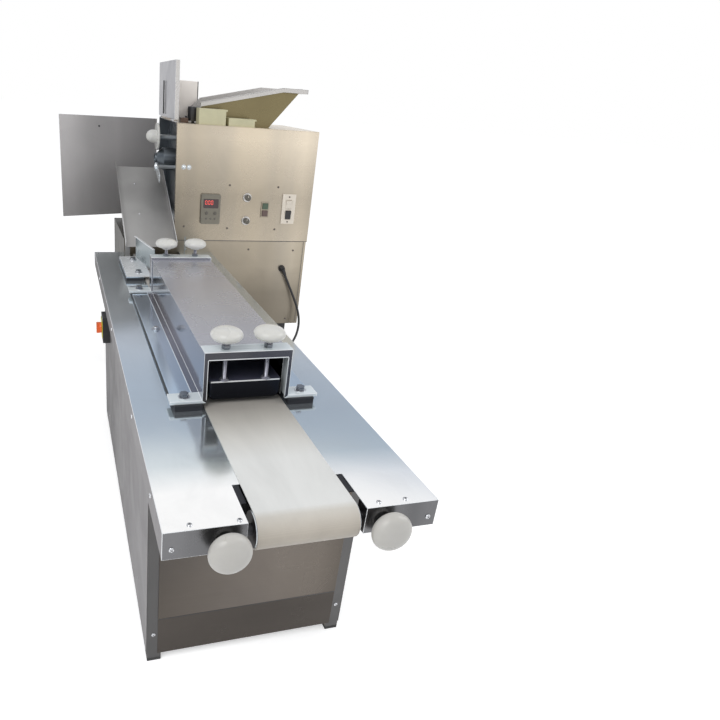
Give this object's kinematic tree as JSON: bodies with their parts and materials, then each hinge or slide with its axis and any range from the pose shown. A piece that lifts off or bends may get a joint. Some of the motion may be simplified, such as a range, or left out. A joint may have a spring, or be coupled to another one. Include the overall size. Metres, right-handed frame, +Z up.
{
  "type": "bread moulder",
  "caption": "Dough divider head with hopper, cutter and chute feeding a belt table with an adjustable pressure board that rolls dough into sticks.",
  "frame": {"origin": "bottom centre of the machine's bounding box, on the floor", "axes": "+X to the operator's right, +Y from the table's front edge to the head at the back, +Z up"},
  "size_m": [1.0108, 2.2223, 1.243],
  "materials": {
    "stainless": "brushed",
    "mirror_sheet": "polished",
    "dark_steel": "satin",
    "black_paint": "satin",
    "white_nylon": "satin",
    "cream_nylon": "satin",
    "belt": "matte",
    "black_plastic": "satin",
    "keypad_plastic": "satin",
    "orange_plastic": "gloss",
    "green_plastic": "gloss",
    "red_plastic": "gloss",
    "white_plastic": "gloss",
    "brown_bracket": "satin",
    "motor_paint": "satin",
    "foot_rubber": "matte",
    "cord_rubber": "matte",
    "board_plastic": "satin"
  },
  "bodies": {
    "machine": {"base_frame": "stainless", "floor_feet": "foot_rubber", "base_panels": "mirror_sheet", "table_deck": "stainless", "platform_rails": "stainless", "conveyor_belt": "belt", "bearing_blocks": "cream_nylon", "tunnel_cover": "stainless", "front_bridge": "mirror_sheet", "rear_bridge": "mirror_sheet", "bridge_bolts": "stainless", "panel_screws": "stainless", "gear_motors": "motor_paint", "drive_chain": "dark_steel", "isolator_box": "black_plastic", "head_legs": "black_paint", "lower_cabinet": "mirror_sheet", "lower_front_panel": "mirror_sheet", "head_front_panel": "mirror_sheet", "head_right_panel": "mirror_sheet", "head_rear_frame": "mirror_sheet", "bulkhead": "dark_steel", "head_roof": "mirror_sheet", "hinge_pins": "stainless", "hopper": "mirror_sheet", "auger_barrel": "dark_steel", "chute": "mirror_sheet", "side_shield": "stainless", "gap_bracket": "brown_bracket", "control_plates": "keypad_plastic", "cord_fittings": "black_plastic", "power_cord": "cord_rubber", "cord_coil": "cord_rubber"},
    "take_up": {"take_up_blocks": "stainless"},
    "tension_left": {"tension_knob_left": "white_nylon"},
    "tension_right": {"tension_knob_right": "white_nylon"},
    "front_drum": {"front_roller": "stainless"},
    "rear_drum": {"rear_roller": "stainless"},
    "motor_wheel": {"motor_sprocket": "dark_steel"},
    "board": {"pressure_board": "board_plastic"},
    "press_front_left": {"press_knob_front_left": "white_nylon"},
    "press_front_right": {"press_knob_front_right": "white_nylon"},
    "press_rear_left": {"press_knob_rear_left": "white_nylon"},
    "press_rear_right": {"press_knob_rear_right": "white_nylon"},
    "isolator": {"isolator_handle": "orange_plastic"},
    "door": {"rear_door": "mirror_sheet"},
    "lid": {"guard_lid": "mirror_sheet"},
    "roller_left": {"feed_roller_left": "white_nylon"},
    "roller_right": {"feed_roller_right": "white_nylon"},
    "pinion": {"feed_pinion": "dark_steel"},
    "screw": {"auger": "stainless"},
    "wheel": {"hand_wheel": "white_nylon"},
    "knife": {"cutter": "stainless"},
    "gap_set": {"gap_knob": "black_plastic"},
    "dial_a": {"dial_upper": "black_plastic"},
    "dial_b": {"dial_lower": "black_plastic"},
    "start": {"start_button": "green_plastic"},
    "stop": {"stop_button": "red_plastic"},
    "rocker_a": {"rocker_upper": "white_plastic"},
    "rocker_b": {"rocker_lower": "black_plastic"}
  },
  "joints": [
    {"name": "take_up_slide", "type": "slide", "parent": "machine", "child": "take_up", "axis": [0, -1, 0], "range_m": [-0.004, 0.004], "deforming": ["conveyor_belt"]},
    {"name": "tension_left_turn", "type": "hinge", "parent": "take_up", "child": "tension_left", "pos_m": [-0.29445, -1.0842, 0.5], "axis": [0, -1, 0], "range_deg": [-720, 720]},
    {"name": "tension_right_turn", "type": "hinge", "parent": "take_up", "child": "tension_right", "pos_m": [-0.02045, -1.0842, 0.5], "axis": [0, -1, 0], "range_deg": [-720, 720]},
    {"name": "front_drum_spin", "type": "hinge", "parent": "take_up", "child": "front_drum", "pos_m": [-0.15745, -1.0442, 0.5], "axis": [1, 0, 0], "continuous": true},
    {"name": "rear_drum_spin", "type": "hinge", "parent": "machine", "child": "rear_drum", "pos_m": [-0.15745, 0.6078, 0.5], "axis": [1, 0, 0], "continuous": true},
    {"name": "motor_wheel_spin", "type": "hinge", "parent": "machine", "child": "motor_wheel", "pos_m": [-0.02345, 0.3858, 0.36], "axis": [1, 0, 0], "continuous": true},
    {"name": "board_lift", "type": "slide", "parent": "machine", "child": "board", "axis": [0, 0, 1], "range_m": [-0.005, 0.01]},
    {"name": "press_front_left_turn", "type": "hinge", "parent": "board", "child": "press_front_left", "pos_m": [-0.20345, -0.6722, 0.672], "axis": [0, 0, 1], "range_deg": [-900, 1800]},
    {"name": "press_front_right_turn", "type": "hinge", "parent": "board", "child": "press_front_right", "pos_m": [-0.11145, -0.6722, 0.672], "axis": [0, 0, 1], "range_deg": [-900, 1800]},
    {"name": "press_rear_left_turn", "type": "hinge", "parent": "board", "child": "press_rear_left", "pos_m": [-0.20345, 0.0858, 0.681], "axis": [0, 0, 1], "range_deg": [-900, 1800]},
    {"name": "press_rear_right_turn", "type": "hinge", "parent": "board", "child": "press_rear_right", "pos_m": [-0.11145, 0.0858, 0.681], "axis": [0, 0, 1], "range_deg": [-900, 1800]},
    {"name": "isolator_turn", "type": "hinge", "parent": "machine", "child": "isolator", "pos_m": [-0.40545, 0.0838, 0.425], "axis": [-1, 0, 0], "range_deg": [0, 90]},
    {"name": "door_swing", "type": "hinge", "parent": "machine", "child": "door", "pos_m": [-0.08145, 1.1068, 0.8], "axis": [0, 0, 1], "range_deg": [-200.6, 8]},
    {"name": "lid_swing", "type": "hinge", "parent": "machine", "child": "lid", "pos_m": [-0.08145, 0.8958, 1.0305], "axis": [0, -1, 0], "range_deg": [0, 90]},
    {"name": "roller_right_spin", "type": "hinge", "parent": "machine", "child": "roller_right", "pos_m": [0.17955, 0.8858, 0.985], "axis": [0, 1, 0], "continuous": true},
    {"name": "roller_left_spin", "type": "hinge", "parent": "machine", "child": "roller_left", "pos_m": [0.06055, 0.8858, 0.985], "axis": [0, 1, 0], "continuous": true},
    {"name": "pinion_spin", "type": "hinge", "parent": "machine", "child": "pinion", "pos_m": [0.22417, 1.0428, 0.90771], "axis": [0, 1, 0], "continuous": true},
    {"name": "screw_spin", "type": "hinge", "parent": "machine", "child": "screw", "pos_m": [0.09255, 0.8618, 0.874], "axis": [1, 0, 0], "continuous": true},
    {"name": "wheel_turn", "type": "hinge", "parent": "machine", "child": "wheel", "pos_m": [-0.12145, 0.8618, 0.96], "axis": [1, 0, 0], "range_deg": [-360, 360]},
    {"name": "knife_spin", "type": "hinge", "parent": "machine", "child": "knife", "pos_m": [-0.13645, 0.7808, 0.85], "axis": [1, 0, 0], "continuous": true},
    {"name": "gap_turn", "type": "hinge", "parent": "machine", "child": "gap_set", "pos_m": [0.00055, 0.7438, 1.06], "axis": [0, 0, 1], "range_deg": [-180, 180]},
    {"name": "dial_upper_turn", "type": "hinge", "parent": "machine", "child": "dial_a", "pos_m": [0.21955, 0.6518, 0.759], "axis": [0, -1, 0], "range_deg": [-135, 135]},
    {"name": "dial_lower_turn", "type": "hinge", "parent": "machine", "child": "dial_b", "pos_m": [0.22055, 0.6518, 0.665], "axis": [0, -1, 0], "range_deg": [-135, 135]},
    {"name": "start_press", "type": "slide", "parent": "machine", "child": "start", "axis": [0, 1, 0], "range_m": [0, 0.002], "stiffness_N_per_m": 300},
    {"name": "stop_press", "type": "slide", "parent": "machine", "child": "stop", "axis": [0, 1, 0], "range_m": [0, 0.002], "stiffness_N_per_m": 300},
    {"name": "rocker_upper_tip", "type": "hinge", "parent": "machine", "child": "rocker_a", "pos_m": [0.40255, 0.6508, 0.736], "axis": [1, 0, 0], "range_deg": [-10, 0]},
    {"name": "rocker_lower_tip", "type": "hinge", "parent": "machine", "child": "rocker_b", "pos_m": [0.40255, 0.6508, 0.693], "axis": [1, 0, 0], "range_deg": [-10, 0]}
  ],
  "couplings": [
    {"joint": "tension_left_turn", "follows": "take_up_slide", "rad_per_m": 3141.6},
    {"joint": "tension_right_turn", "follows": "take_up_slide", "rad_per_m": 3141.6},
    {"joint": "front_drum_spin", "follows": "rear_drum_spin", "ratio": 1},
    {"joint": "motor_wheel_spin", "follows": "rear_drum_spin", "ratio": 1},
    {"joint": "press_front_left_turn", "follows": "board_lift", "rad_per_m": 3141.6},
    {"joint": "press_front_right_turn", "follows": "board_lift", "rad_per_m": 3141.6},
    {"joint": "press_rear_left_turn", "follows": "board_lift", "rad_per_m": 3141.6},
    {"joint": "press_rear_right_turn", "follows": "board_lift", "rad_per_m": 3141.6},
    {"joint": "roller_left_spin", "follows": "roller_right_spin", "ratio": -1},
    {"joint": "pinion_spin", "follows": "roller_right_spin", "ratio": -2}
  ]
}
